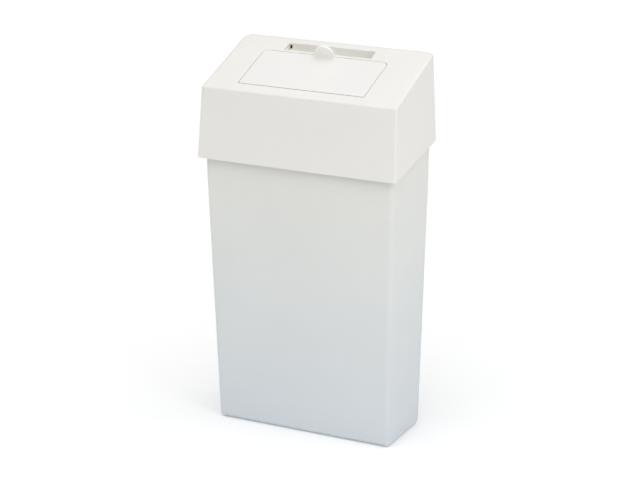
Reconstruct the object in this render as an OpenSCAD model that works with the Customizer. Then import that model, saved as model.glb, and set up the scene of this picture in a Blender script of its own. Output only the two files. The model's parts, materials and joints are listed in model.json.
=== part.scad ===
// Slim litter bin: tapered tub, tip-back hood with a sloping top, and a hopper flap in that slope.
// Millimetres, +Z up, origin on the floor under the middle of the overall box, front towards -Y.

/* [Tub] */
// Width of the tub at its base
base_w = 357; // [320:1:358]
// Depth of the tub at its base
base_d = 141; // [130:1:148]
// Outward lean of each side wall, degrees
tub_side_draft = 1.4; // [0.5:0.05:1.45]
// Outward lean of the front wall, degrees
tub_front_draft = 1.95; // [1:0.05:2.3]
// Outward lean of the back wall, degrees
tub_back_draft = 0.5; // [0.2:0.1:0.8]
// Radius of the tub's outer edges
tub_edge_r = 10; // [6:1:14]
// Wall thickness of the tub
tub_wall = 3; // [2:0.5:4]
// Thickness of the tub's floor
tub_floor = 4; // [3:0.5:6]
// Height of the foot ring under the floor
foot_h = 1; // [0.5:0.5:3]
// Distance from the hood's lower front edge back to the front of the tub's base
base_front_inset = 30.5; // [29:0.5:34]

/* [Hood] */
// Width of the hood along its lower edge
hood_w = 400; // [399:1:420]
// Depth of the hood along its lower edge
hood_d = 194; // [190:1:198]
// Height of the lower edge at the front
skirt_front_z = 519; // [510:1:525]
// Height of the lower edge at the back
skirt_back_z = 558; // [550:1:565]
// Height of the front edge of the sloping top
slope_front_z = 651; // [645:0.5:660]
// Rise of the sloping top, degrees
slope = 21.3; // [20:0.1:23]
// Inward lean of the hood's side walls, degrees
hood_side_draft = 1.85; // [1:0.05:2.2]
// Inward lean of the hood's front wall, degrees
hood_front_draft = 5.2; // [4:0.1:6.5]
// Inward lean of the hood's back wall, degrees
hood_back_draft = 2.3; // [1:0.1:3]
// Radius of the hood's outer edges
hood_edge_r = 6; // [5:0.5:8]
// Radius of the hood's two rear corners, seen from above
hood_corner_r = 18; // [12:1:20]
// Wall thickness of the hood
hood_wall = 3; // [2.5:0.5:3]
// Height of the tub's rim above the hood's lower edge
rim_lap = 24; // [20:1:28]

/* [Flap] */
// Width of the flap
flap_w = 251; // [220:1:256]
// Length of the flap up the slope
flap_l = 112; // [106:1:114]
// Distance from the top's front edge to the flap
flap_start = 24; // [20:0.5:25]
// Distance from the hood's middle to the flap's middle, along X
flap_x = -5; // [-12:1:12]
// Gap round the flap
flap_gap = 1; // [0.8:0.1:1.5]
// Thickness of the flap and its tray
flap_t = 3; // [2.5:0.5:3]
// Radius of the flap's two rear corners
flap_corner_r = 10; // [6:1:14]
// Opening angle of the flap, degrees
flap_swing = 66; // [50:1:68]
// Radius of the hinge rod
rod_r = 2; // [1.5:0.25:2.5]
// Radius of the flap's rolled front edge
nose_r = 6; // [5.5:0.25:6.5]
// Width of the upright finger tab
tab_w = 42; // [30:1:50]
// Height of the finger tab over the flap
tab_h = 24; // [21:1:30]
// Thickness of the finger tab
tab_t = 5.5; // [5:0.5:7]
// Width of the finger recess behind the flap
recess_w = 176; // [140:2:190]
// Length of the finger recess up the slope
recess_l = 23.5; // [20:0.5:25]
// Width of the strip between the flap and the finger recess
recess_strip = 6; // [5:0.5:7]

/* [Hopper tray] */
// Angle between the flap and the tray plate, degrees
tray_drop = 80; // [70:1:84]
// Length of the tray plate
tray_l = 92; // [80:1:94]
// Distance between the outer faces of the tray's cheeks
tray_w = 226; // [200:1:228]
// Height of the lip at the end of the tray
lip_h = 8; // [4:1:10]

/* [Hood hinges] */
// Distance of each hood hinge from the middle
hinge_x = 110; // [80:1:150]
// Length of the hood's knuckle
knuckle_l = 16; // [12:1:24]
// Radius of the hinge barrels
barrel_r = 4.5; // [4:0.25:5]
// How far the hinge axis stands behind the hood's lower back edge
axis_back = 1.5; // [1:0.25:2]

/* [Hidden] */
$fn = 48;
eps = 0.01;
run_fit = 0.06;
fixed_fit = 0.02;

// Overall depth: the hood and the hinge barrels behind it
overall_d = hood_d + axis_back + barrel_r;
front_y = -overall_d / 2;
back_y = front_y + hood_d;

// Hood planes: the lower edge, the sloping top and the walls
skirt_angle = atan2(skirt_back_z - skirt_front_z, hood_d);
slope_front_y = front_y + (slope_front_z - skirt_front_z) * tan(hood_front_draft);
// The sloping top meets the back wall where the two planes cross
slope_back_y = (back_y + (skirt_back_z - slope_front_z + slope_front_y * tan(slope)) * tan(hood_back_draft))
    / (1 + tan(slope) * tan(hood_back_draft));
slope_back_z = slope_front_z + (slope_back_y - slope_front_y) * tan(slope);
function hood_half_w(z) = hood_w / 2 - (z - skirt_front_z) * tan(hood_side_draft);
function hood_front(z) = front_y + (z - skirt_front_z) * tan(hood_front_draft);
function hood_back(z) = back_y - (z - skirt_back_z) * tan(hood_back_draft);
function slope_z(y) = slope_front_z + (y - slope_front_y) * tan(slope);

// Tub planes; the rim is parallel to the hood's lower edge
base_front_y = front_y + base_front_inset;
base_back_y = base_front_y + base_d;
tub_top_z = skirt_back_z + rim_lap + 12;
function tub_half_w(z) = base_w / 2 + z * tan(tub_side_draft);
function tub_front(z) = base_front_y - z * tan(tub_front_draft);
function tub_back(z) = base_back_y + z * tan(tub_back_draft);
function rim_z(y) = skirt_front_z + rim_lap + (y - front_y) * tan(skirt_angle);
bead_t = 0.9;
bead_h = 6;
cut = 300;

// Flap hinge axis: behind the flap's front edge and below its surface by the nose radius
hinge_s = flap_start + nose_r;
hinge_y = slope_front_y + hinge_s * cos(slope) + nose_r * sin(slope);
hinge_z = slope_front_z + hinge_s * sin(slope) - nose_r * cos(slope);
flap_reach = flap_l - nose_r;

// Hood hinge axis
hood_axis_y = back_y + axis_back;
hood_axis_z = skirt_back_z + 2;

// Finger recess: a level floor a little under the flap's lower face
recess_s = flap_start + flap_l + flap_gap + recess_strip;
recess_front_y = slope_front_y + recess_s * cos(slope);
recess_floor_z = slope_front_z + (recess_s - recess_strip) * sin(slope) - flap_t - 1.5;
recess_back_y = recess_front_y + recess_l * cos(slope);
recess_wall = 2.5;
seat_gap = 0.04;

// Hinge bosses, bushes and clips on the flap's rod
boss_in = flap_w / 2 + 2;
boss_l = 13;
boss_r = 5.8;
bush_r = 3.6;
bush_flange_r = 5;
bush_flange_t = 1;
clip_t = 1;
clip_r = 4;
rod_end = boss_in + boss_l + 3.5;

// Shelf in each rear corner of the opening, and the pads that meet it
shelf_y = [80, 100];
shelf_in = 119;
shelf_out = 135;
shelf_top = -nose_r + 6.8;
shelf_t = 2.5;
pad_r = 3.5;
pad_h = 2;

// Tray fixing flange, cheeks and stop lugs, in the flap's own frame
flange_y = [9, 34];
flange_top = -3;
flange_t = 2.5;
screw_x = [-96, -32, 32, 96];
screw_y = 24;
screw_r = 1.5;
screw_head_r = 3.2;
screw_head_h = 1.8;
cheek_t = 2.5;
cheek_r = 98;
lug_r = 91;
lug_t = 4;
lug_l = 10;
lug_out = 132;
buffer_t = 3;
shelf_low = shelf_top - shelf_t;
stop_gap = 0.7;
lug_angle = asin((shelf_low - stop_gap - buffer_t - lug_t / 2) / lug_r) - flap_swing;

// Places a child on the sloping top over the flap's middle: y runs up the slope, z is 0 on the surface
module on_slope() {
    translate([flap_x, slope_front_y, slope_front_z]) rotate([slope, 0, 0]) children();
}

// Places a child on the flap hinge axis, with y along the flap
module on_flap_axis() {
    translate([flap_x, hinge_y, hinge_z]) rotate([slope, 0, 0]) children();
}

// Extrudes an outline drawn in the YZ plane, symmetrically along X
module along_x(length) {
    rotate([90, 0, 90]) linear_extrude(height = length, center = true) children();
}

module x_rod(radius, length) {
    rotate([0, 90, 0]) cylinder(r = radius, h = length, center = true);
}

// Rectangle with two rounded corners at its far end
module tongue(w, y0, y1, r) {
    difference() {
        translate([-w / 2, y0]) square([w, y1 - y0]);
        for (side = [-1, 1]) translate([side * (w / 2 - r), y1 - r]) difference() {
            translate([side > 0 ? 0 : -r - 1, 0]) square([r + 1, r + 1]);
            circle(r = r);
        }
    }
}

module rounded_rect(w, y0, y1, r) {
    translate([-w / 2 + r, y0]) square([w - 2 * r, y1 - y0]);
    translate([-w / 2, y0 + r]) square([w, y1 - y0 - 2 * r]);
    for (side = [-1, 1], y = [y0 + r, y1 - r])
        translate([side * (w / 2 - r), y]) circle(r = r);
}

// ---------- tub ----------

// Solid form of the tub, grown outwards or inwards, from a given floor height
module tub_form(grow, z0) {
    r = tub_edge_r + grow;
    hull() {
        for (side = [-1, 1]) {
            for (end = [0, 1])
                translate([side * (tub_half_w(z0) - tub_edge_r),
                           end ? tub_back(z0) - tub_edge_r : tub_front(z0) + tub_edge_r, z0 + r])
                    sphere(r = r, $fn = 32);
            for (end = [0, 1])
                translate([side * (tub_half_w(tub_top_z) - tub_edge_r),
                           end ? tub_back(tub_top_z) - tub_edge_r
                               : tub_front(tub_top_z) + tub_edge_r, tub_top_z])
                    cylinder(r = r, h = 1, $fn = 32);
        }
    }
}

// Everything under the rim plane, lowered by drop
module under_rim(drop) {
    along_x(hood_w + cut) polygon([
        [front_y - cut, -cut], [back_y + cut, -cut],
        [back_y + cut, rim_z(back_y + cut) - drop], [front_y - cut, rim_z(front_y - cut) - drop]]);
}

module tub_shell() color([0.86, 0.87, 0.88]) {
    difference() {
        union() {
            intersection() {
                tub_form(0, foot_h);
                under_rim(0);
            }
            intersection() {
                tub_form(bead_t, foot_h);
                difference() {
                    under_rim(0);
                    under_rim(bead_h);
                }
            }
            foot_ring();
            for (side = [-1, 1]) tub_knuckles(side);
        }
        tub_form(-tub_wall, foot_h + tub_floor);
        for (side = [-1, 1]) translate([side * hinge_x, hood_axis_y, hood_axis_z])
            x_rod(rod_r + fixed_fit, 60);
    }
    liner_lugs();
}

module foot_ring() {
    inset = tub_edge_r + 3;
    difference() {
        linear_extrude(height = foot_h + 1)
            rounded_rect(base_w - 2 * inset, base_front_y + inset, base_back_y - inset, 12);
        translate([0, 0, -1]) linear_extrude(height = foot_h + 1)
            rounded_rect(base_w - 2 * inset - 24, base_front_y + inset + 12,
                         base_back_y - inset - 12, 6);
    }
}

// The two barrels of one hood hinge, each on an arm from the back wall
module tub_knuckles(side) {
    arm_l = 9.5;
    for (step = [-1, 1])
        translate([side * hinge_x + step * (knuckle_l / 2 + 0.5 + arm_l / 2), 0, 0]) {
            translate([0, hood_axis_y, hood_axis_z]) x_rod(barrel_r, arm_l);
            along_x(arm_l) polygon([
                [tub_back(hood_axis_z) - 1.5, hood_axis_z - 26],
                [tub_back(hood_axis_z) + 0.5, hood_axis_z - 26],
                [hood_axis_y + barrel_r * 0.8, hood_axis_z - barrel_r * 0.6],
                [hood_axis_y, hood_axis_z],
                [hood_axis_y - barrel_r * 0.8, hood_axis_z - barrel_r * 0.6],
                [tub_back(hood_axis_z) - 1.5, hood_axis_z - 6]]);
        }
}

// Liner ring: how far under the rim it lies, its thickness, width and gap to the walls
ring_drop = 16;
ring_t = 3;
ring_w = 9;
ring_gap = 1.5;
ring_z = rim_z(front_y) - ring_drop;

// Places a child in the liner ring's plane, with y running back from the hood's lower front edge
module on_ring() {
    translate([0, front_y, ring_z]) rotate([skirt_angle, 0, 0]) children();
}

// Six lugs inside the rim that carry the liner ring
module liner_lugs() {
    lug = 4;
    on_ring() translate([0, 0, -ring_t - lug]) {
        for (side = [-1, 1], y = [50, 150]) {
            x_in = tub_half_w(ring_z + y * tan(skirt_angle)) - tub_wall - 5;
            translate([side > 0 ? x_in : -x_in - 6.5, y - 6, 0]) cube([6.5, 12, lug]);
        }
        for (x = [-90, 90])
            translate([x - 8, tub_front(ring_z) + tub_wall - front_y - 2, 0]) cube([16, 8, lug]);
    }
}

// Flat frame that folds the liner over, parallel to the rim
module liner_ring() color([0.72, 0.74, 0.74]) {
    y0 = (tub_front(500) + tub_wall + ring_gap + 1 - front_y) / cos(skirt_angle);
    y1 = (tub_back(500) - tub_wall - ring_gap - 1.5 - front_y) / cos(skirt_angle);
    w = 2 * (tub_half_w(500) - tub_wall - ring_gap);
    on_ring() translate([0, 0, -ring_t]) linear_extrude(height = ring_t) difference() {
        rounded_rect(w, y0, y1, 12);
        rounded_rect(w - 2 * ring_w, y0 + ring_w, y1 - ring_w, 6);
    }
}

module hood_hinge_pin(side) color([0.62, 0.63, 0.65]) {
    length = knuckle_l + 24;
    head_t = 1.5;
    translate([side * hinge_x, hood_axis_y, hood_axis_z]) {
        x_rod(rod_r, length);
        translate([-side * (length / 2 - 0.5 - head_t / 2), 0, 0]) x_rod(barrel_r - 1, head_t);
    }
}

module hood_hinge_pin_left() hood_hinge_pin(-1);
module hood_hinge_pin_right() hood_hinge_pin(1);

module push_clip(r_hole) {
    difference() {
        x_rod(clip_r, clip_t);
        x_rod(r_hole, clip_t + 1);
    }
}

module hinge_pin_clips() color([0.45, 0.46, 0.48]) {
    for (side = [-1, 1])
        translate([side * (hinge_x + knuckle_l / 2 + 10 + clip_t / 2 + 0.2), hood_axis_y, hood_axis_z])
            push_clip(rod_r + fixed_fit);
}

// ---------- hood ----------

// Height of a front edge sphere's centre: under the sloping top and behind the front wall
function front_centre_z() = slope_front_z
    + hood_edge_r * (tan(slope) / cos(hood_front_draft) - 1 / cos(slope))
    / (1 - tan(hood_front_draft) * tan(slope));

// Solid form of the hood, shrunk by inset; its lower end runs past the lower edge
module hood_form(inset) {
    r = hood_edge_r - inset;
    z_low = skirt_front_z - 30;
    z_front = front_centre_z();
    bend = hood_corner_r - hood_edge_r;
    hull() for (side = [-1, 1]) {
        for (z = [z_low, z_front])
            translate([side * (hood_half_w(z) - hood_edge_r),
                       hood_front(z) + hood_edge_r / cos(hood_front_draft), z])
                sphere(r = r, $fn = 32);
        for (turn = [0:22.5:90]) {
            x_off = hood_corner_r - bend * cos(turn);
            y_off = hood_corner_r - bend * sin(turn);
            y_top = hood_back(slope_back_z - 9) - y_off;
            z_top = slope_z(y_top) - hood_edge_r / cos(slope);
            translate([side * (hood_half_w(z_top) - x_off), y_top, z_top]) sphere(r = r, $fn = 24);
            translate([side * (hood_half_w(z_low) - x_off), hood_back(z_low) - y_off, z_low])
                sphere(r = r, $fn = 24);
        }
    }
}

// Everything above the plane of the hood's lower edge
module above_skirt() {
    rise = tan(skirt_angle);
    along_x(hood_w + cut) polygon([
        [front_y - cut, skirt_front_z - cut * rise], [back_y + cut, skirt_back_z + cut * rise],
        [back_y + cut, slope_back_z + cut], [front_y - cut, slope_back_z + cut]]);
}

module hood_shell() color([0.93, 0.92, 0.89]) {
    difference() {
        union() {
            difference() {
                intersection() {
                    hood_form(0);
                    above_skirt();
                }
                hood_form(hood_wall);
            }
            for (side = [-1, 1]) {
                flap_boss(side);
                shelf(side);
                hood_knuckle(side);
                rim_ledges(side);
            }
        }
        flap_opening();
        recess_pocket();
        for (side = [-1, 1]) {
            hinge_notches(side);
            translate([side * hinge_x, hood_axis_y, hood_axis_z])
                x_rod(rod_r + run_fit, knuckle_l + 2);
            on_flap_axis() {
                translate([side * (boss_in - bush_flange_t / 2), 0, 0])
                    x_rod(bush_flange_r + 0.3, bush_flange_t + 0.6);
                translate([side * (boss_in + boss_l + 1.4), 0, 0]) x_rod(clip_r + 0.4, 2.8);
            }
        }
        on_flap_axis() x_rod(bush_r + fixed_fit, 2 * rod_end);
    }
}

// Hole in the sloping top that the flap fills
module flap_opening() {
    on_slope() translate([0, 0, -hood_wall - 1]) linear_extrude(height = hood_wall + 2)
        tongue(flap_w + 2 * flap_gap, flap_start - flap_gap,
               flap_start + flap_l + flap_gap, flap_corner_r + flap_gap);
}

// Level-floored pocket behind the flap, open at the top
module recess_pocket() {
    translate([flap_x, 0, 0]) along_x(recess_w) polygon([
        [recess_front_y, recess_floor_z], [recess_back_y, recess_floor_z],
        [recess_back_y, slope_back_z + 10], [recess_front_y, slope_back_z + 10]]);
}

// Cup that lines the finger recess: floor and four walls, flush under the sloping top
module recess_cup() color([0.88, 0.88, 0.84]) {
    low_z = recess_floor_z - recess_wall;
    rear_y = recess_back_y + recess_wall;
    under = (hood_wall + seat_gap) / cos(slope);
    front = recess_front_y - recess_wall;
    difference() {
        translate([flap_x, 0, 0]) along_x(recess_w + 2 * recess_wall) polygon([
            [rear_y, low_z],
            [rear_y, slope_z(rear_y) - under],
            [front, slope_z(front) - under], [front, low_z]]);
        recess_pocket();
        recess_slot();
    }
}

// Slot at the left end of the recess's back wall
module recess_slot() {
    slot_w = 5;
    slot_h = 6.5;
    top_z = slope_z(recess_back_y) - (hood_wall + seat_gap) / cos(slope) - 0.8;
    translate([flap_x - recess_w / 2 + 0.5, recess_back_y - 1, top_z - slot_h])
        cube([slot_w, recess_wall + 2, slot_h]);
}

// Boss that carries one end of the flap's hinge rod
module flap_boss(side) {
    on_flap_axis() translate([side * (boss_in + boss_l / 2), 0, 0]) {
        x_rod(boss_r, boss_l);
        translate([-boss_l / 2, -boss_r, 0]) cube([boss_l, 2 * boss_r, nose_r - 1]);
    }
}

// Shelf under the rear corner of the flap
module shelf(side) {
    on_flap_axis() {
        length = shelf_y[1] - shelf_y[0];
        translate([side > 0 ? shelf_in : -shelf_out, shelf_y[0], shelf_low])
            cube([shelf_out - shelf_in, length, shelf_t]);
        translate([side > 0 ? flap_w / 2 + 2 : -shelf_out, shelf_y[0], shelf_low])
            cube([shelf_out - flap_w / 2 - 2, length, nose_r - 1 - shelf_low]);
    }
}

module hood_knuckle(side) {
    translate([side * hinge_x, 0, 0]) {
        translate([0, hood_axis_y, hood_axis_z]) x_rod(barrel_r, knuckle_l);
        along_x(knuckle_l) polygon([
            [hood_axis_y - barrel_r * 0.9, hood_axis_z],
            [hood_axis_y + barrel_r * 0.9, hood_axis_z + barrel_r * 0.4],
            [hood_back(hood_axis_z + 16) - 0.5, hood_axis_z + 16],
            [hood_back(hood_axis_z + 16) - 2.5, hood_axis_z + 16]]);
    }
}

// Room in the lower back edge for the tub's barrels
module hinge_notches(side) {
    room = 15;
    for (step = [-1, 1])
        translate([side * hinge_x + step * (knuckle_l / 2 + room / 2), hood_axis_y, hood_axis_z])
            cube([room, 20, 13], center = true);
}

// Ledges inside the side walls that sit on the tub's rim
module rim_ledges(side) {
    for (y = [-45, 45]) {
        z = rim_z(y) + 2.5;
        x_in = tub_half_w(z) - tub_wall - 1;
        x_out = hood_half_w(z) - hood_wall / 2;
        translate([side > 0 ? x_in : -x_out, y, z]) rotate([skirt_angle, 0, 0])
            translate([0, -4, -2]) cube([x_out - x_in, 8, 10]);
    }
}

module flap_hinge_rod() color([0.62, 0.63, 0.65]) {
    on_flap_axis() x_rod(rod_r, 2 * rod_end);
}

module hinge_rod_clips() color([0.45, 0.46, 0.48]) {
    on_flap_axis() for (side = [-1, 1])
        translate([side * (boss_in + boss_l + 0.2 + clip_t / 2), 0, 0]) push_clip(rod_r + fixed_fit);
}

module hinge_bush(side) color([0.80, 0.80, 0.76]) {
    on_flap_axis() difference() {
        union() {
            translate([side * (boss_in + boss_l / 2), 0, 0]) x_rod(bush_r, boss_l);
            translate([side * (boss_in - bush_flange_t / 2), 0, 0]) x_rod(bush_flange_r, bush_flange_t);
        }
        x_rod(rod_r + run_fit, 2 * rod_end);
    }
}

module hinge_bush_left() hinge_bush(-1);
module hinge_bush_right() hinge_bush(1);

module flap_rest_pad(side) color([0.25, 0.25, 0.26]) {
    on_flap_axis() translate([side * (shelf_in + pad_r + 0.5), (shelf_y[0] + shelf_y[1]) / 2, shelf_top])
        cylinder(r = pad_r, h = pad_h);
}

module flap_rest_pad_left() flap_rest_pad(-1);
module flap_rest_pad_right() flap_rest_pad(1);

// ---------- flap ----------

module flap_panel() color([0.95, 0.94, 0.92]) {
    on_flap_axis() difference() {
        union() {
            translate([0, 0, nose_r - flap_t]) linear_extrude(height = flap_t)
                tongue(flap_w, 0, flap_reach, flap_corner_r);
            x_rod(nose_r, flap_w);
            for (side = [-1, 1])
                translate([side * (tray_w / 2 + 2.2) - 1, 12, nose_r - flap_t - 4])
                    cube([2, flap_reach - 18, 4 + eps]);
            translate([-tray_w / 2 - 2.2, flap_reach - 8, nose_r - flap_t - 4])
                cube([tray_w + 4.4, 2, 4 + eps]);
            for (x = screw_x)
                translate([x, screw_y, flange_top]) cylinder(r = 4, h = nose_r - flange_top - 1);
        }
        x_rod(rod_r + run_fit, flap_w + 2);
        for (x = screw_x)
            translate([x, screw_y, flange_top - 1]) cylinder(r = screw_r + fixed_fit, h = 8);
        for (side = [-1, 1])
            translate([side * tab_screw_x, flap_reach - tab_t / 2, nose_r - flap_t - 1])
                cylinder(r = tab_screw_r + 0.1, h = flap_t + 2);
    }
}

tab_screw_x = 12;
tab_screw_r = 1.25;
tab_screw_l = 12;
module finger_tab() color([0.92, 0.91, 0.87]) {
    on_flap_axis() translate([0, flap_reach, nose_r]) difference() {
        rotate([90, 0, 0]) linear_extrude(height = tab_t) intersection() {
            union() {
                translate([-tab_w / 2, 0]) square([tab_w, tab_h - tab_w / 2]);
                translate([0, tab_h - tab_w / 2]) circle(r = tab_w / 2, $fn = 96);
            }
            translate([-tab_w, 0]) square([2 * tab_w, tab_h + 1]);
        }
        for (side = [-1, 1])
            translate([side * tab_screw_x, -tab_t / 2, -1])
                cylinder(r = tab_screw_r + fixed_fit, h = tab_screw_l - flap_t + 1.5);
    }
}

// Pan-head screw pointing up, its head's seat at z = 0
module screw(r, head_r, head_h, length) {
    cylinder(r = r, h = length);
    translate([0, 0, -head_h]) difference() {
        cylinder(r = head_r, h = head_h);
        translate([-r, -0.3, -1]) cube([2 * r, 0.6, 1.7]);
        translate([-0.3, -r, -1]) cube([0.6, 2 * r, 1.7]);
    }
}

module tab_screws() color([0.62, 0.63, 0.65]) {
    on_flap_axis() for (side = [-1, 1])
        translate([side * tab_screw_x, flap_reach - tab_t / 2, nose_r - flap_t])
            screw(tab_screw_r, 2.4, 1.5, tab_screw_l);
}

// Fixing flange, tray plate with its lip, and two cheeks with stop lugs
module hopper_tray() color([0.88, 0.88, 0.86]) {
    on_flap_axis() {
        difference() {
            union() {
                translate([-tray_w / 2, flange_y[0], flange_top - flange_t])
                    cube([tray_w, flange_y[1] - flange_y[0], flange_t]);
                tray_plate();
                for (side = [-1, 1]) cheek(side);
            }
            for (x = screw_x)
                translate([x, screw_y, flange_top - flange_t - 1])
                    cylinder(r = screw_r + 0.2, h = flange_t + 2);
        }
    }
}

module tray_plate() {
    translate([-tray_w / 2, flange_y[0], flange_top - flange_t / 2]) rotate([-tray_drop, 0, 0]) {
        translate([0, 0, -flange_t / 2]) cube([tray_w, tray_l, flange_t]);
        translate([0, tray_l - flange_t, 0]) cube([tray_w, flange_t, lip_h]);
    }
}

// Side wall of the hopper: a sector round the hinge axis, from the flap down to the tray plate
module cheek(side) {
    a0 = -tray_drop + 5;
    a1 = -5;
    steps = 14;
    translate([side * (tray_w / 2 - cheek_t / 2), 0, 0]) {
        along_x(cheek_t) polygon(concat(
            [[flange_y[0] + 2, flange_top - 1]],
            [for (i = [0:steps]) cheek_r * [cos(a0 + (a1 - a0) * i / steps),
                                            sin(a0 + (a1 - a0) * i / steps)]],
            [[cheek_r - 14, flange_top]]));
    }
    x0 = tray_w / 2 - 1;
    rotate([lug_angle, 0, 0])
        translate([side > 0 ? x0 : -lug_out, lug_r - lug_l / 2, -lug_t / 2])
            cube([lug_out - x0, lug_l, lug_t]);
}

module tray_screws() color([0.62, 0.63, 0.65]) {
    on_flap_axis() for (x = screw_x)
        translate([x, screw_y, flange_top - flange_t]) screw(screw_r, screw_head_r, screw_head_h, 9);
}

module open_stop_buffer(side) color([0.25, 0.25, 0.26]) {
    on_flap_axis() rotate([lug_angle, 0, 0])
        translate([side > 0 ? tray_w / 2 + 6 : -lug_out, lug_r - lug_l / 2, lug_t / 2])
            cube([lug_out - tray_w / 2 - 6, lug_l, buffer_t]);
}

module open_stop_buffer_left() open_stop_buffer(-1);
module open_stop_buffer_right() open_stop_buffer(1);

tub_shell();
liner_ring();
hood_hinge_pin_left();
hood_hinge_pin_right();
hinge_pin_clips();
hood_shell();
recess_cup();
flap_hinge_rod();
hinge_rod_clips();
hinge_bush_left();
hinge_bush_right();
flap_rest_pad_left();
flap_rest_pad_right();
flap_panel();
finger_tab();
tab_screws();
hopper_tray();
tray_screws();
open_stop_buffer_left();
open_stop_buffer_right();
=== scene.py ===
"""Looks of the slim litter bin: moulded shells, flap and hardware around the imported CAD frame.

Metres, +Z up, origin on the floor under the middle of the overall box, front towards -Y.
"""
import json
import math

import bmesh
import bpy
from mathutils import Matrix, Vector
from mathutils.geometry import delaunay_2d_cdt


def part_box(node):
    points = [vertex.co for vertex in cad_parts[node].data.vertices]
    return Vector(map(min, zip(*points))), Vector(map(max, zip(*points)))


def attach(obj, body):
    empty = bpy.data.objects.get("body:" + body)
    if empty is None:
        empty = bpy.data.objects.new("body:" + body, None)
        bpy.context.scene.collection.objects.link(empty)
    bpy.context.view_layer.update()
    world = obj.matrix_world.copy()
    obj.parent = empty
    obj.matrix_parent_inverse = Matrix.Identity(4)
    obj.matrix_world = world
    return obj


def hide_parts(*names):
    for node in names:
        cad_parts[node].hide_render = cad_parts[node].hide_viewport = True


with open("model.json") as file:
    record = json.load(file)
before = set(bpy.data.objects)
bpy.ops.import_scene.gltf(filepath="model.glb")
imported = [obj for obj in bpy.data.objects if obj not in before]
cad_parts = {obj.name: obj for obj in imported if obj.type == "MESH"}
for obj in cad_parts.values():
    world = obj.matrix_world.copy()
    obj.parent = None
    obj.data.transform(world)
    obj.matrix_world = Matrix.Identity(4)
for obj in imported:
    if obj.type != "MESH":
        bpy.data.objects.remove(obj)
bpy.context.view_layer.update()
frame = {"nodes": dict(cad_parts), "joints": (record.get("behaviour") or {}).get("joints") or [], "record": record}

MM = 0.001


def rad(degrees):
    return math.radians(degrees)


def tan(degrees):
    return math.tan(rad(degrees))


# ---------------------------------------------------------------------------
# Dimensions, in metres and degrees. Places come from the frame, and the leans
# and radii that a box can't give are those of the part's design.
# ---------------------------------------------------------------------------
HOOD_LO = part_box("hood_shell")[0]
FLAP_LO, FLAP_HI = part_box("flap_panel")
PIN_LO, PIN_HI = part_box("hood_hinge_pin_right")
JOINTS = {j["name"]: j for j in frame["joints"]}

WALL = 3 * MM
BASE_W, BASE_D = 357 * MM, 141 * MM
TUB_SIDE, TUB_FRONT, TUB_BACK = 1.4, 1.95, 0.5
TUB_EDGE_R = 10 * MM
TUB_TOP_EDGE_R = 13 * MM
TUB_ROUNDER_FROM_Z, TUB_ROUNDER_OVER = 0.470, 0.075
WALL_BOW, WALL_BOW_TOP_Z = 0.35 * MM, 0.54
TUB_FLOOR = 4 * MM
FOOT_H = 1 * MM
BEAD_T, BEAD_H = 0.9 * MM, 6 * MM

FRONT_Y = HOOD_LO.y
HOOD_W, HOOD_D = 400 * MM, 194 * MM
BACK_Y = FRONT_Y + HOOD_D
SKIRT_FRONT_Z, SKIRT_BACK_Z = 519 * MM, 558 * MM
SLOPE_FRONT_Z = 651 * MM
SLOPE = 21.3
HOOD_SIDE, HOOD_FRONT, HOOD_BACK = 1.85, 5.2, 2.3
HOOD_EDGE_R, HOOD_CORNER_R = 6 * MM, 18 * MM
SKIRT_RISE = (SKIRT_BACK_Z - SKIRT_FRONT_Z) / HOOD_D
RIM_LAP = 24 * MM
BASE_FRONT_Y = FRONT_Y + 30.5 * MM
BASE_BACK_Y = BASE_FRONT_Y + BASE_D

FLAP_X = (FLAP_LO.x + FLAP_HI.x) / 2
FLAP_W = FLAP_HI.x - FLAP_LO.x
FLAP_L, FLAP_START, FLAP_GAP, FLAP_T = 112 * MM, 24 * MM, 1 * MM, 3 * MM
FLAP_CORNER_R = 10 * MM
NOSE_R = 6 * MM
ROD_R = 2 * MM
RUN_FIT, FIXED_FIT = 0.06 * MM, 0.02 * MM
RECESS_W, RECESS_L, RECESS_STRIP = 176 * MM, 23.5 * MM, 6 * MM
TAB_W, TAB_H, TAB_T = 42 * MM, 24 * MM, 5.5 * MM

SLOPE_FRONT_Y = FRONT_Y + (SLOPE_FRONT_Z - SKIRT_FRONT_Z) * tan(HOOD_FRONT)
HINGE_S = FLAP_START + NOSE_R


def slope_z(y):
    return SLOPE_FRONT_Z + (y - SLOPE_FRONT_Y) * tan(SLOPE)


def hood_half_w(z):
    return HOOD_W / 2 - (z - SKIRT_FRONT_Z) * tan(HOOD_SIDE)


def hood_front(z):
    return FRONT_Y + (z - SKIRT_FRONT_Z) * tan(HOOD_FRONT)


def hood_back(z):
    return BACK_Y - (z - SKIRT_BACK_Z) * tan(HOOD_BACK)


def skirt_z(y):
    return SKIRT_FRONT_Z + (y - FRONT_Y) * SKIRT_RISE


def rim_z(y):
    return skirt_z(y) + RIM_LAP


def tub_half_w(z):
    return BASE_W / 2 + z * tan(TUB_SIDE)


def tub_front(z):
    return BASE_FRONT_Y - z * tan(TUB_FRONT)


def tub_back(z):
    return BASE_BACK_Y + z * tan(TUB_BACK)


CS, SN = math.cos(rad(SLOPE)), math.sin(rad(SLOPE))


def on_slope(x, s, n):
    """Point x from the flap's middle, s up the slope from its front edge, n over its surface."""
    return Vector((FLAP_X + x, SLOPE_FRONT_Y + s * CS - n * SN, SLOPE_FRONT_Z + s * SN + n * CS))


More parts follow.
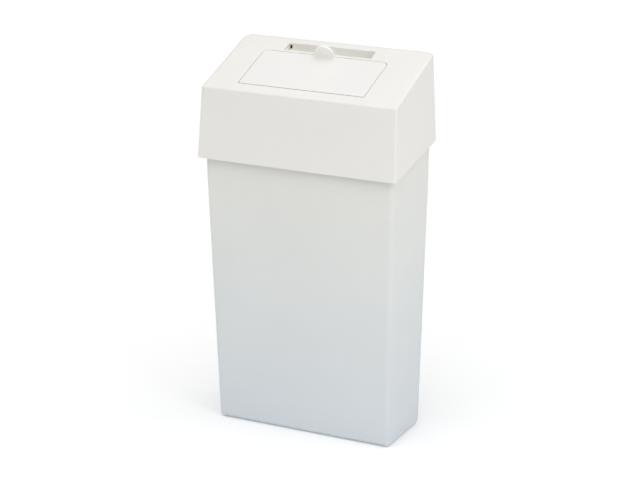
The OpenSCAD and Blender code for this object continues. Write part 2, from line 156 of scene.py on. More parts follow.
# ---------------------------------------------------------------------------
# Mesh helpers
# ---------------------------------------------------------------------------
def new_object(name, bm, sharp=38.0):
    """Object of a bmesh, smooth shaded, with its edges over the sharp angle kept sharp."""
    bmesh.ops.remove_doubles(bm, verts=bm.verts, dist=2e-6)
    bmesh.ops.dissolve_degenerate(bm, dist=1e-6, edges=bm.edges)
    bmesh.ops.recalc_face_normals(bm, faces=bm.faces)
    limit = rad(sharp)
    for e in bm.edges:
        e.smooth = len(e.link_faces) == 2 and e.calc_face_angle(0) < limit
    for f in bm.faces:
        f.smooth = True
    mesh = bpy.data.meshes.new(name)
    bm.to_mesh(mesh)
    bm.free()
    obj = bpy.data.objects.new(name, mesh)
    bpy.context.scene.collection.objects.link(obj)
    weighted(obj)
    return obj


def weighted(obj):
    mod = obj.modifiers.new("weighted normals", "WEIGHTED_NORMAL")
    mod.mode = "FACE_AREA"
    mod.weight = 80
    mod.keep_sharp = True


def add_ring(bm, points):
    return [bm.verts.new(p) for p in points]


def bridge(bm, a, b):
    """Quads between two closed rings of the same length."""
    n = len(a)
    for i in range(n):
        j = (i + 1) % n
        quad = [a[i], a[j], b[j], b[i]]
        if len({v for v in quad}) == 4:
            bm.faces.new(quad)


def arc(cx, cy, r, a0, a1, steps):
    """Points of an arc, angles in degrees."""
    return [(cx + r * math.cos(rad(a0 + (a1 - a0) * i / steps)),
             cy + r * math.sin(rad(a0 + (a1 - a0) * i / steps))) for i in range(steps + 1)]


def slerp(a, b, t):
    angle = a.angle(b, 0.0)
    if angle < 1e-6:
        return a.copy()
    return (a * math.sin((1 - t) * angle) + b * math.sin(t * angle)) / math.sin(angle)


def offset_outline(points, d):
    """A counter-clockwise closed outline grown by d, with mitred corners."""
    out = []
    n = len(points)
    for i in range(n):
        p, q, r = (Vector(points[k % n]) for k in (i - 1, i, i + 1))
        e0, e1 = (q - p).normalized(), (r - q).normalized()
        n0, n1 = Vector((e0.y, -e0.x)), Vector((e1.y, -e1.x))
        m = (n0 + n1)
        m = m / max(m.length_squared, 1e-9) * 2
        out.append((q.x + m.x * d, q.y + m.y * d))
    return out


def fill_between(bm, outer, inners, flat):
    """Fills the plane between an outer ring of vertices and inner ones; flat gives 2D places."""
    verts, edges, holes = [], [], []
    for ring in [outer] + inners:
        start, n = len(verts), len(ring)
        verts += ring
        edges += [(start + i, start + (i + 1) % n) for i in range(n)]
        holes.append([Vector(flat(v.co)) for v in ring])
    co = [place for ring in holes for place in ring]
    # 1 keeps the faces inside the outline; those inside the inner rings are dropped afterwards
    cv, _, faces, orig, _, _ = delaunay_2d_cdt(co, edges, [], 1, 1e-7)

    def in_hole(p, hole):
        inside = False
        for a, b in zip(hole, hole[1:] + hole[:1]):
            if (a.y > p.y) != (b.y > p.y) and p.x < (b.x - a.x) * (p.y - a.y) / (b.y - a.y) + a.x:
                inside = not inside
        return inside

    for f in faces:
        mid = sum((cv[i] for i in f), Vector((0, 0))) / len(f)
        if any(in_hole(mid, hole) for hole in holes[1:]):
            continue
        bm.faces.new([verts[orig[i][0]] for i in f])


def add_bevel(obj, width, segments=2, angle=30):
    mod = obj.modifiers.new("bevel", "BEVEL")
    mod.width = width
    mod.segments = segments
    mod.limit_method = "ANGLE"
    mod.angle_limit = rad(angle)
    mod.harden_normals = False
    mod.miter_outer = "MITER_ARC"
    return mod


def radial_outline(shape, r_min, steps=48):
    """Outline round the origin: the farthest hit of each ray on a polygon, never under r_min."""
    out = []
    for k in range(steps):
        a = 2 * math.pi * k / steps
        d = Vector((math.cos(a), math.sin(a)))
        best = r_min
        for i in range(len(shape)):
            p, q = Vector(shape[i]), Vector(shape[(i + 1) % len(shape)])
            e = q - p
            den = d.x * e.y - d.y * e.x
            if abs(den) < 1e-12:
                continue
            t = (p.x * e.y - p.y * e.x) / den
            u = (p.x * d.y - p.y * d.x) / den
            if t > 0 and -1e-9 <= u <= 1 + 1e-9:
                best = max(best, t)
        out.append((d.x * best, d.y * best))
    return out


def collar(bm, outer, r_hole, x0, x1, place):
    """Ring along X between x0 and x1, with a round hole; outer has one point per hole point."""
    n = len(outer)
    hole = [(r_hole * math.cos(2 * math.pi * k / n), r_hole * math.sin(2 * math.pi * k / n))
            for k in range(n)]
    rings = [add_ring(bm, [place(x, u, v) for u, v in pts]) for x, pts in
             ((x0, hole), (x0, outer), (x1, outer), (x1, hole))]
    for k in range(4):
        bridge(bm, rings[k], rings[(k + 1) % 4])


def block(bm, lo, hi, place):
    """Six-sided block between two local corners."""
    v = [bm.verts.new(place(x, y, z))
         for z in (lo[2], hi[2]) for y in (lo[1], hi[1]) for x in (lo[0], hi[0])]
    for quad in ((0, 2, 3, 1), (4, 5, 7, 6), (0, 1, 5, 4),
                 (2, 6, 7, 3), (0, 4, 6, 2), (1, 3, 7, 5)):
        bm.faces.new([v[i] for i in quad])


def on_flap_axis(x, y, z):
    """Place in the flap's frame: x from its middle, y along it, z normal, from the hinge axis."""
    return on_slope(x, HINGE_S + y, z - NOSE_R)


# ---------------------------------------------------------------------------
# Columns: the points round a rounded rectangle, the same for every ring
# ---------------------------------------------------------------------------
CORNER_STEPS = 10


def columns(front, side, back):
    """Counter-clockwise from the front-left; corners as (sx, sy, angle), edges as (name, t)."""
    cols = []
    for (sx, sy, start), (edge, stops) in zip(
            ((-1, -1, 180), (1, -1, 270), (1, 1, 0), (-1, 1, 90)),
            (("front", front), ("right", side), ("back", back), ("left", side))):
        cols += [(sx, sy, start + 90 * k / CORNER_STEPS) for k in range(CORNER_STEPS + 1)]
        cols += [(edge, t) for t in stops]
    return cols


def even(n):
    return [(k + 1) / (n + 1) for k in range(n)]


def rect_point(col, x0, x1, y0, y1, r):
    if len(col) == 3:
        sx, sy, a = col
        cx = x1 - r if sx > 0 else x0 + r
        cy = y1 - r if sy > 0 else y0 + r
        return cx + r * math.cos(rad(a)), cy + r * math.sin(rad(a))
    edge, t = col
    if edge == "front":
        return x0 + r + t * (x1 - x0 - 2 * r), y0
    if edge == "back":
        return x1 - r - t * (x1 - x0 - 2 * r), y1
    if edge == "right":
        return x1, y0 + r + t * (y1 - y0 - 2 * r)
    return x0, y1 - r - t * (y1 - y0 - 2 * r)


# ---------------------------------------------------------------------------
# Tub
# ---------------------------------------------------------------------------
TUB_COLS = columns(even(9), even(3), even(9))
# Heights of the rings up the outside and down the inside, in millimetres
TUB_OUTER_LEVELS = (30, 60, 110, 160, 210, 260, 310, 360, 410, 450, 470, 480, 490, 500, 508)
TUB_INNER_LEVELS = (450, 360, 260, 160, 60)


def tub_edge_r(z):
    """The tub's vertical edges: rounder close to the rim."""
    t = min(max((z - TUB_ROUNDER_FROM_Z) / TUB_ROUNDER_OVER, 0), 1)
    return TUB_EDGE_R + (TUB_TOP_EDGE_R - TUB_EDGE_R) * t * t * (3 - 2 * t)


def tub_point(col, z, grow, r=None):
    r = max((tub_edge_r(z) if r is None else r) + grow, 1 * MM)
    w = tub_half_w(z) + grow
    x, y = rect_point(col, -w, w, tub_front(z) - grow, tub_back(z) + grow, r)
    if len(col) == 2:
        # A moulded wall bows inwards by a fraction of a millimetre between its edges
        t = 4 * col[1] * (1 - col[1])
        bow = WALL_BOW * t * math.sin(math.pi * min(max(z / WALL_BOW_TOP_Z, 0), 1))
        x -= math.copysign(bow, x) if col[0] in ("right", "left") else 0
        y -= math.copysign(bow, y) if col[0] in ("front", "back") else 0
    return x, y


def tub_ring(bm, z_of, grow, r=None):
    """Ring at a level or sloping height: z_of gives a height for a place's y."""
    points = []
    for col in TUB_COLS:
        z = z_of(0)
        for _ in range(5):
            x, y = tub_point(col, z, grow, r)
            z = z_of(y)
        points.append((x, y, z))
    return add_ring(bm, points)


def level(z):
    return lambda y: z


def rim_level(drop):
    return lambda y: rim_z(y) - drop


def flat_ring(bm, inset, r, z):
    w = BASE_W / 2 - inset
    return add_ring(bm, [(*rect_point(c, -w, w, BASE_FRONT_Y + inset, BASE_BACK_Y - inset, r), z)
                         for c in TUB_COLS])


def build_tub():
    bm = bmesh.new()
    rings = []
    # Underside: middle, foot ring, then the rounded lower edge
    foot_out, foot_in, soft = 12 * MM, 24 * MM, 0.4 * MM
    rings.append(flat_ring(bm, foot_in + 8 * MM, 6 * MM, FOOT_H + 0.2 * MM))
    rings.append(flat_ring(bm, foot_in, 6 * MM, FOOT_H))
    rings.append(flat_ring(bm, foot_in, 6 * MM, soft))
    rings.append(flat_ring(bm, foot_in - soft, 6 * MM, 0))
    rings.append(flat_ring(bm, foot_out + soft, 12 * MM, 0))
    rings.append(flat_ring(bm, foot_out, 12 * MM, soft))
    rings.append(flat_ring(bm, foot_out, 12 * MM, FOOT_H))
    r = TUB_EDGE_R
    for k in range(9):
        a = rad(90 * k / 8)
        inset = r * (1 - math.sin(a))
        z = FOOT_H + r * (1 - math.cos(a))
        rings.append(tub_ring(bm, level(z), -inset, r))
    for z in TUB_OUTER_LEVELS:
        rings.append(tub_ring(bm, level(z * MM), 0))
    # Rim with its small outer bead and rounded lip
    rings.append(tub_ring(bm, rim_level(BEAD_H + 2.4 * MM), 0))
    rings.append(tub_ring(bm, rim_level(BEAD_H), BEAD_T))
    lip = 1.2 * MM
    for k in range(1, 6):
        a = rad(90 * k / 5)
        rings.append(tub_ring(bm, rim_level(lip * (1 - math.sin(a))),
                              BEAD_T - lip * (1 - math.cos(a))))
    for k in range(5):
        a = rad(90 * k / 5)
        rings.append(tub_ring(bm, rim_level(lip * (1 - math.cos(a))),
                              -WALL + lip * (1 - math.sin(a))))
    rings.append(tub_ring(bm, rim_level(lip), -WALL))
    rings.append(tub_ring(bm, rim_level(40 * MM), -WALL))
    for z in TUB_INNER_LEVELS:
        rings.append(tub_ring(bm, level(z * MM), -WALL))
    floor_z = FOOT_H + TUB_FLOOR
    ri = TUB_EDGE_R - WALL
    for k in range(7):
        a = rad(90 * k / 6)
        rings.append(tub_ring(bm, level(floor_z + ri * (1 - math.sin(a))),
                              -WALL - ri * (1 - math.cos(a)), TUB_EDGE_R + 0.3 * MM))
    for a, b in zip(rings, rings[1:]):
        bridge(bm, a, b)
    bm.faces.new(list(reversed(rings[0])))
    bm.faces.new(rings[-1])
    return new_object("tub_body", bm)


HINGE_X = (PIN_LO.x + PIN_HI.x) / 2
KNUCKLE_L = 16 * MM
BARREL_R = 4.5 * MM
AXIS_Y = JOINTS["hood_tip"]["pos_m"][1]
AXIS_Z = JOINTS["hood_tip"]["pos_m"][2]


def on_hood_axis(x, y, z):
    return Vector((x, AXIS_Y + y, AXIS_Z + z))


def build_tub_barrels():
    bm = bmesh.new()
    wall = tub_back(AXIS_Z) - AXIS_Y
    shape = [(wall - 1.5 * MM, -26 * MM), (wall + 0.5 * MM, -26 * MM),
             (BARREL_R * 0.8, -BARREL_R * 0.6), (0, 0),
             (-BARREL_R * 0.8, -BARREL_R * 0.6), (wall - 1.5 * MM, -6 * MM)]
    outer = radial_outline(shape, BARREL_R)
    arm = 9.5 * MM
    for side in (-1, 1):
        for step in (-1, 1):
            mid = side * HINGE_X + step * (KNUCKLE_L / 2 + 0.5 * MM + arm / 2)
            collar(bm, outer, ROD_R + FIXED_FIT, mid - arm / 2, mid + arm / 2, on_hood_axis)
    obj = new_object("tub_hinge_barrels", bm, 50)
    add_bevel(obj, 0.5 * MM, angle=40)
    return obj


RING_DROP, RING_T = 16 * MM, 3 * MM
SKIRT_ANGLE = math.atan(SKIRT_RISE)


def on_ring(x, y, z):
    """Place in the liner ring's plane: y back from the hood's lower front edge, z normal to it."""
    c, s = math.cos(SKIRT_ANGLE), math.sin(SKIRT_ANGLE)
    return Vector((x, FRONT_Y + y * c - z * s, rim_z(FRONT_Y) - RING_DROP + y * s + z * c))


def build_liner_lugs():
    bm = bmesh.new()
    lug = 4 * MM
    z0, z1 = -RING_T - lug, -RING_T
    ring_z = rim_z(FRONT_Y) - RING_DROP
    for side in (-1, 1):
        for y in (50 * MM, 150 * MM):
            x_in = tub_half_w(ring_z + y * SKIRT_RISE) - WALL - 5 * MM
            a, b = sorted((side * x_in, side * (x_in + 6.5 * MM)))
            block(bm, (a, y - 6 * MM, z0), (b, y + 6 * MM, z1), on_ring)
    y_in = tub_front(ring_z) + WALL - FRONT_Y - 2 * MM
    for x in (-90 * MM, 90 * MM):
        block(bm, (x - 8 * MM, y_in, z0), (x + 8 * MM, y_in + 8 * MM, z1), on_ring)
    obj = new_object("tub_liner_lugs", bm)
    add_bevel(obj, 0.7 * MM)
    return obj


# ---------------------------------------------------------------------------
# Hood
# ---------------------------------------------------------------------------
NOTCH_LIFT = 8.5 * MM
NOTCH_ROOM = 15 * MM
NOTCH_SLANT = 0.4 * MM


def back_stops():
    """Stops along the back wall, with a lift where the hinge notches are, right to left."""
    stops = []
    for side in (1, -1):
        for step in (1, -1):
            near = side * HINGE_X + step * side * KNUCKLE_L / 2
            far = near + step * side * NOTCH_ROOM
            a, b = max(near, far), min(near, far)
            stops += [(a + NOTCH_SLANT, 0), (a, NOTCH_LIFT), (b, NOTCH_LIFT), (b - NOTCH_SLANT, 0)]
    stops += [(x, 0) for x in (0.150, 0.060, 0.020, -0.020, -0.060, -0.150)]
    return sorted(stops, reverse=True)


BACK_STOPS = back_stops()
HOOD_COLS = columns(even(9), even(3), [None] * len(BACK_STOPS))
N_FRONT = Vector((0, -math.cos(rad(HOOD_FRONT)), math.sin(rad(HOOD_FRONT))))
N_BACK = Vector((0, math.cos(rad(HOOD_BACK)), math.sin(rad(HOOD_BACK))))
N_TOP = Vector((0, -SN, CS))


def n_side(sx):
    return Vector((sx * math.cos(rad(HOOD_SIDE)), 0, math.sin(rad(HOOD_SIDE))))


def hood_corner(sx, sy, z, t):
    """Ball centre at height z in a corner; t is 0 at the side wall, 1 at the front or back."""
    if sy < 0:
        return Vector((sx * (hood_half_w(z) - HOOD_EDGE_R),
                       hood_front(z) + HOOD_EDGE_R / math.cos(rad(HOOD_FRONT)), z))
    bend = HOOD_CORNER_R - HOOD_EDGE_R
    a = rad(90 * t)
    return Vector((sx * (hood_half_w(z) - HOOD_CORNER_R + bend * math.cos(a)),
                   hood_back(z) - HOOD_CORNER_R + bend * math.sin(a), z))


def hood_centre(col, index, z):
    """Ball centre and wall normal of a column at height z."""
    if len(col) == 3:
        sx, sy, a = col
        t = abs(math.sin(rad(a)))
        t = math.degrees(math.asin(min(1, t))) / 90
        w = slerp(n_side(sx), N_BACK if sy > 0 else N_FRONT, t)
        return hood_corner(sx, sy, z, t), w
    edge, t = col
    if edge == "front":
        a, b = hood_corner(-1, -1, z, 1), hood_corner(1, -1, z, 1)
        return a.lerp(b, t), N_FRONT
    if edge == "back":
        c = hood_corner(1, 1, z, 1)
        return Vector((BACK_STOPS[index][0], c.y, z)), N_BACK
    sx = 1 if edge == "right" else -1
    a, b = hood_corner(sx, -1, z, 0), hood_corner(sx, 1, z, 0)
    if edge == "left":
        a, b = b, a
    return a.lerp(b, t), n_side(sx)


def hood_lines():
    """For each column: top ball centre, direction down the wall, normal and lift."""
    lines = []
    index = 0
    for col in HOOD_COLS:
        is_back = col[0] == "back"
        k = index if is_back else 0
        z = SLOPE_FRONT_Z
        for _ in range(25):
            c, w = hood_centre(col, k, z)
            z = slope_z(c.y) - HOOD_EDGE_R / CS
        c, w = hood_centre(col, k, z)
        low, _ = hood_centre(col, k, SKIRT_FRONT_Z - 30 * MM)
        lines.append((c, low - c, w, BACK_STOPS[k][1] if is_back else 0))
        index += is_back
    return lines


HOOD_LINES = hood_lines()


def skirt_point(line, r, h):
    """Point on a wall line, h over the plane of the lower edge (plus the column's own lift)."""
    c, d, w, lift = line
    p = c + w * r
    t = (skirt_z(p.y) + h + lift - p.z) / (d.z - d.y * SKIRT_RISE)
    return p + d * t


def flat_on_slope(p):
    """2D place of a point in the sloping plane: x from the flap's middle, distance up the slope."""
    return p.x - FLAP_X, (p.y - SLOPE_FRONT_Y) * CS + (p.z - SLOPE_FRONT_Z) * SN


RECESS_S0 = FLAP_START + FLAP_L + FLAP_GAP + RECESS_STRIP
RECESS_S1 = RECESS_S0 + RECESS_L


def flap_hole():
    """Outline of the flap opening, counter-clockwise from its front left."""
    w = FLAP_W / 2 + FLAP_GAP
    s0, s1 = FLAP_START - FLAP_GAP, FLAP_START + FLAP_L + FLAP_GAP
    r = FLAP_CORNER_R + FLAP_GAP
    pts = [(-w, s0), (w, s0)]
    return pts + arc(w - r, s1 - r, r, 0, 90, 10) + arc(-w + r, s1 - r, r, 90, 180, 10)


def recess_hole():
    """Outline of the finger recess's opening, counter-clockwise from its front left."""
    w, r = RECESS_W / 2, 1.2 * MM
    pts = [(-w, RECESS_S0), (w, RECESS_S0)]
    return pts + arc(w - r, RECESS_S1 - r, r, 0, 90, 4) + arc(-w + r, RECESS_S1 - r, r, 90, 180, 4)


def build_hood():
    bm = bmesh.new()
    r_out, r_in = HOOD_EDGE_R, HOOD_EDGE_R - WALL
    soft = 0.9 * MM
    rings = []
    steps = 8
    # Inner top edge down the inside, round the lower edge, up the outside and over the top edge
    for k in range(steps, -1, -1):
        rings.append(add_ring(bm, [c + slerp(w, N_TOP, k / steps) * r_in
                                   for c, _, w, _ in HOOD_LINES]))
    rings.append(add_ring(bm, [skirt_point(line, r_in, 25 * MM) for line in HOOD_LINES]))
    for k in range(0, 5):
        a = rad(90 * k / 4)
        h, u = soft * (1 - math.sin(a)), soft * (1 - math.cos(a))
        rings.append(add_ring(bm, [skirt_point(line, r_in + u, h) for line in HOOD_LINES]))
    for k in range(4, -1, -1):
        a = rad(90 * k / 4)
        h, u = soft * (1 - math.sin(a)), soft * (1 - math.cos(a))
        rings.append(add_ring(bm, [skirt_point(line, r_out - u, h) for line in HOOD_LINES]))
    rings.append(add_ring(bm, [skirt_point(line, r_out, 25 * MM) for line in HOOD_LINES]))
    for k in range(steps + 1):
        rings.append(add_ring(bm, [c + slerp(w, N_TOP, k / steps) * r_out
                                   for c, _, w, _ in HOOD_LINES]))
    for a, b in zip(rings, rings[1:]):
        bridge(bm, a, b)
    # Openings for the flap and the recess, with rounded upper edges and walls through the plate;
    # the flap's front edge is undercut, to clear its nose, and the recess is cut plumb
    lip, undercut = 0.3 * MM, 1.1 * MM
    plumb = WALL * tan(SLOPE)
    above, below = [], []
    for outline in (flap_hole(), recess_hole()):
        hole = []
        for k in range(4):
            a = rad(90 * k / 3)
            pts = offset_outline(outline, lip * (1 - math.sin(a)))
            hole.append(add_ring(bm, [on_slope(x, s, -lip * (1 - math.cos(a)))
                                      for x, s in pts]))
        low = []
        for x, s in outline:
            shift = -undercut if s < FLAP_START else (-plumb if s >= RECESS_S0 - MM else 0)
            low.append(on_slope(x, s + shift, -WALL))
        hole.append(add_ring(bm, low))
        for a, b in zip(hole, hole[1:]):
            bridge(bm, a, b)
        above.append(hole[0])
        below.append(hole[-1])
    fill_between(bm, rings[-1], above, flat_on_slope)
    fill_between(bm, rings[0], below, flat_on_slope)
    return new_object("hood_body", bm)


BOSS_IN, BOSS_L, BOSS_R = FLAP_W / 2 + 2 * MM, 13 * MM, 5.8 * MM
BUSH_R = 3.6 * MM
SHELF_Y = (80 * MM, 100 * MM)
SHELF_IN, SHELF_OUT = 119 * MM, 135 * MM
SHELF_TOP, SHELF_T = 0.8 * MM, 2.5 * MM


def build_hood_fittings():
    """Inside the hood: hinge bosses, corner shelves and rim ledges."""
    bm = bmesh.new()
    top = NOSE_R - 1 * MM
    shape = [(-BOSS_R, 0), (BOSS_R, 0), (BOSS_R, top), (-BOSS_R, top)]
    outer = radial_outline(shape, BOSS_R)
    outer = [(u, min(v, top)) for u, v in outer]
    low = SHELF_TOP - SHELF_T
    for side in (-1, 1):
        a, b = sorted((side * BOSS_IN, side * (BOSS_IN + BOSS_L)))
        collar(bm, outer, BUSH_R + FIXED_FIT, a, b, on_flap_axis)
        a, b = sorted((side * SHELF_IN, side * SHELF_OUT))
        block(bm, (a, SHELF_Y[0], low), (b, SHELF_Y[1], SHELF_TOP), on_flap_axis)
        a, b = sorted((side * (FLAP_W / 2 + 2 * MM), side * SHELF_OUT))
        block(bm, (a, SHELF_Y[0], SHELF_TOP - 0.5 * MM), (b, SHELF_Y[1], top), on_flap_axis)
        for y in (-45 * MM, 45 * MM):
            z = rim_z(y) + 2.5 * MM
            a, b = sorted((side * (tub_half_w(z) - WALL - 1 * MM),
                           side * (hood_half_w(z) - WALL / 2)))
            c, s = math.cos(SKIRT_ANGLE), math.sin(SKIRT_ANGLE)
            block(bm, (a, -4 * MM, -2 * MM), (b, 4 * MM, 8 * MM),
                  lambda px, py, pz: Vector((px, y + py * c - pz * s, z + py * s + pz * c)))
    obj = new_object("hood_fittings", bm, 50)
    add_bevel(obj, 0.5 * MM, angle=40)
    return obj


def build_hood_knuckles():
    bm = bmesh.new()
    z = 16 * MM
    wall = hood_back(AXIS_Z + z) - AXIS_Y
    shape = [(-BARREL_R * 0.9, 0), (BARREL_R * 0.9, 0), (BARREL_R * 0.9, BARREL_R * 0.4),
             (wall - 0.5 * MM, z), (wall - 2.5 * MM, z)]
    outer = radial_outline(shape, BARREL_R)
    for side in (-1, 1):
        collar(bm, outer, ROD_R + RUN_FIT, side * HINGE_X - KNUCKLE_L / 2,
               side * HINGE_X + KNUCKLE_L / 2, on_hood_axis)
    obj = new_object("hood_hinge_knuckles", bm, 50)
    add_bevel(obj, 0.5 * MM, angle=40)
    return obj


# ---------------------------------------------------------------------------
# Flap, tab and hopper
# ---------------------------------------------------------------------------
TRAY_W = 226 * MM
SCREW_X = (-96 * MM, -32 * MM, 32 * MM, 96 * MM)
SCREW_Y = 24 * MM
SCREW_BOSS_R, SCREW_PILOT_R = 4 * MM, 1.52 * MM
RIB_OUT, RIB_H, RIB_SINK = 2.2 * MM, 4 * MM, 0.3 * MM
FLANGE_TOP = -3 * MM
FLAP_REACH = FLAP_L - NOSE_R
FLAP_SOFT = 0.35 * MM
NOSE_LEAN = 0.45 * MM


def nose_front(d):
    """Front edge from the hinge's height to the top: nearly upright, with a small round."""
    face = [(-(NOSE_R - d) + NOSE_LEAN * t, (NOSE_R - FLAP_SOFT - d) * t)
            for t in (0.2, 0.4, 0.6, 0.8, 1.0)]
    edge = arc(-NOSE_R + d + NOSE_LEAN + FLAP_SOFT, NOSE_R - d - FLAP_SOFT, FLAP_SOFT, 180, 90, 5)
    return face + edge[1:]


def flap_profile(x):
    """Section of the flap at distance x from its middle: closed outline in (along, normal)."""
    half = FLAP_W / 2
    soft = FLAP_SOFT
    edge = half - abs(x)
    d = 0.0
    if edge < soft:
        d = soft - math.sqrt(max(soft * soft - (soft - edge) ** 2, 0))
    reach = FLAP_REACH
    if edge < FLAP_CORNER_R:
        u = FLAP_CORNER_R - max(edge, soft * 0.3)
        reach -= FLAP_CORNER_R - math.sqrt(max(FLAP_CORNER_R ** 2 - u * u, 0))
    reach -= d
    top, under = NOSE_R - d, NOSE_R - FLAP_T + d
    r = NOSE_R - d
    a = math.degrees(math.asin(under / r))
    pts = arc(0, 0, r, a, -180, 16) + nose_front(d)
    pts += [(t * (reach - soft), top) for t in (0.25, 0.5, 0.75)]
    pts += arc(reach - soft, top - soft, soft, 90, 0, 5)
    low = 0.5 * MM
    pts += arc(reach - low, under + low, low, 0, -90, 4)
    return pts


def flap_stations():
    half, r = FLAP_W / 2, FLAP_CORNER_R
    right = [half - r + r * math.sin(rad(a)) for a in (0, 10, 20, 30, 40, 50, 58, 66, 72)]
    right += [half - FLAP_SOFT + FLAP_SOFT * math.sin(rad(a)) for a in (0, 20, 40, 60, 78, 90)]
    right = sorted(set(right))
    middle = [half * k / 12 for k in range(-10, 11)]
    return sorted([-x for x in right] + middle + right)


def build_flap():
    bm = bmesh.new()
    rings = [add_ring(bm, [on_flap_axis(x, y, z) for y, z in flap_profile(x)])
             for x in flap_stations()]
    for a, b in zip(rings, rings[1:]):
        bridge(bm, a, b)
    bm.faces.new(list(reversed(rings[0])))
    bm.faces.new(rings[-1])
    return new_object("flap_plate", bm)


def build_flap_ribs():
    """Stiffening ribs and screw bosses under the flap."""
    bm = bmesh.new()
    under = NOSE_R - FLAP_T
    for side in (-1, 1):
        x = side * (TRAY_W / 2 + RIB_OUT)
        block(bm, (x - 1 * MM, 12 * MM, under - RIB_H),
              (x + 1 * MM, FLAP_REACH - 6 * MM, under + RIB_SINK), on_flap_axis)
    x = TRAY_W / 2 + RIB_OUT
    block(bm, (-x, FLAP_REACH - 8 * MM, under - RIB_H),
          (x, FLAP_REACH - 6 * MM, under + RIB_SINK), on_flap_axis)
    steps = 32
    circle = [(SCREW_BOSS_R * math.cos(2 * math.pi * k / steps),
               SCREW_BOSS_R * math.sin(2 * math.pi * k / steps)) for k in range(steps)]
    for sx in SCREW_X:
        collar(bm, circle, SCREW_PILOT_R, FLANGE_TOP, under + RIB_SINK,
               lambda h, u, v: on_flap_axis(sx + u, SCREW_Y + v, h))
    obj = new_object("flap_ribs", bm, 50)
    add_bevel(obj, 0.35 * MM, angle=40)
    return obj


def tab_outline(inset):
    """Outline of the tab, shrunk by inset except at its foot; counter-clockwise from the right."""
    r = TAB_W / 2 - inset
    spring = TAB_H - TAB_W / 2
    sides = [(TAB_W / 2 - inset, spring * k / 3) for k in range(4)]
    dome = arc(0, spring, r, 0, 180, 40)
    return sides[:-1] + dome + [(-x, z) for x, z in reversed(sides[:-1])]


def build_tab():
    """Upright tab: flat faces, a fully rounded edge and a small flare at the foot."""
    bm = bmesh.new()
    soft = 1.5 * MM
    rings = []
    for k in range(6):
        a = rad(90 * k / 5)
        rings.append((soft * (1 - math.sin(a)), -TAB_T + soft * (1 - math.cos(a))))
    for k in range(5, -1, -1):
        a = rad(90 * k / 5)
        rings.append((soft * (1 - math.sin(a)), -soft * (1 - math.cos(a))))
    made = []
    for inset, depth in rings:
        made.append(add_ring(bm, [on_flap_axis(x, FLAP_REACH + depth, NOSE_R + z)
                                  for x, z in tab_outline(inset)]))
    for a, b in zip(made, made[1:]):
        bridge(bm, a, b)
    bm.faces.new(list(reversed(made[0])))
    bm.faces.new(made[-1])
    # Flare: a concave strip round the foot's front and sides
    flare, sunk, steps = 1.6 * MM, 0.4 * MM, 5
    half = TAB_W / 2
    path = [(half, 0.0, 1, 0), (half, -TAB_T + soft, 1, 0)]
    path += [(half - soft + soft * math.cos(rad(a)), -TAB_T + soft + soft * math.sin(rad(a)),
              math.cos(rad(a)), math.sin(rad(a))) for a in (-30, -60)]
    path += [(half - soft, -TAB_T, 0, -1)]
    path += [(-x, y, -nx, ny) for x, y, nx, ny in reversed(path)]
    strips = []
    for x, y, nx, ny in path:
        section = [(-sunk, flare), (-sunk, -sunk), (flare, -sunk)]
        section += [(flare * (1 - math.sin(rad(a))), flare * (1 - math.cos(rad(a))))
                    for a in [90 * k / steps for k in range(0, steps + 1)]]
        strips.append(add_ring(bm, [on_flap_axis(x + nx * u, FLAP_REACH + y + ny * u, NOSE_R + h)
                                    for u, h in section]))
    for a, b in zip(strips, strips[1:]):
        bridge(bm, a, b)
    bm.faces.new(list(reversed(strips[0])))
    bm.faces.new(strips[-1])
    return new_object("tab_pull", bm)


# ---------------------------------------------------------------------------
# Materials
# ---------------------------------------------------------------------------
def new_material(name):
    mat = bpy.data.materials.new(name)
    mat.use_nodes = True
    tree = mat.node_tree
    shader = tree.nodes["Principled BSDF"]
    return mat, tree, shader


def noise(tree, scale, detail=2.0, rough=0.5, stretch=(1, 1, 1)):
    coords = tree.nodes.new("ShaderNodeTexCoord")
    place = tree.nodes.new("ShaderNodeMapping")
    place.inputs["Scale"].default_value = stretch
    node = tree.nodes.new("ShaderNodeTexNoise")
    node.inputs["Scale"].default_value = scale
    node.inputs["Detail"].default_value = detail
    node.inputs["Roughness"].default_value = rough
    tree.links.new(coords.outputs["Object"], place.inputs["Vector"])
    tree.links.new(place.outputs["Vector"], node.inputs["Vector"])
    return node


def ramp(tree, source, stops):
    node = tree.nodes.new("ShaderNodeValToRGB")
    first, last = node.color_ramp.elements[0], node.color_ramp.elements[1]
    first.position, last.position = stops[0][0], stops[-1][0]
    first.color = (*stops[0][1], 1)
    last.color = (*stops[-1][1], 1)
    for pos, color in stops[1:-1]:
        e = node.color_ramp.elements.new(pos)
        e.color = (*color, 1)
    tree.links.new(source, node.inputs["Fac"])
    return node


def spread(tree, source, low, high):
    node = tree.nodes.new("ShaderNodeMapRange")
    node.inputs["To Min"].default_value = low
    node.inputs["To Max"].default_value = high
    tree.links.new(source, node.inputs["Value"])
    return node


# Height up to which the painted shade near the floor fades out
PAINTED_SHADE_TOP_Z = 0.52


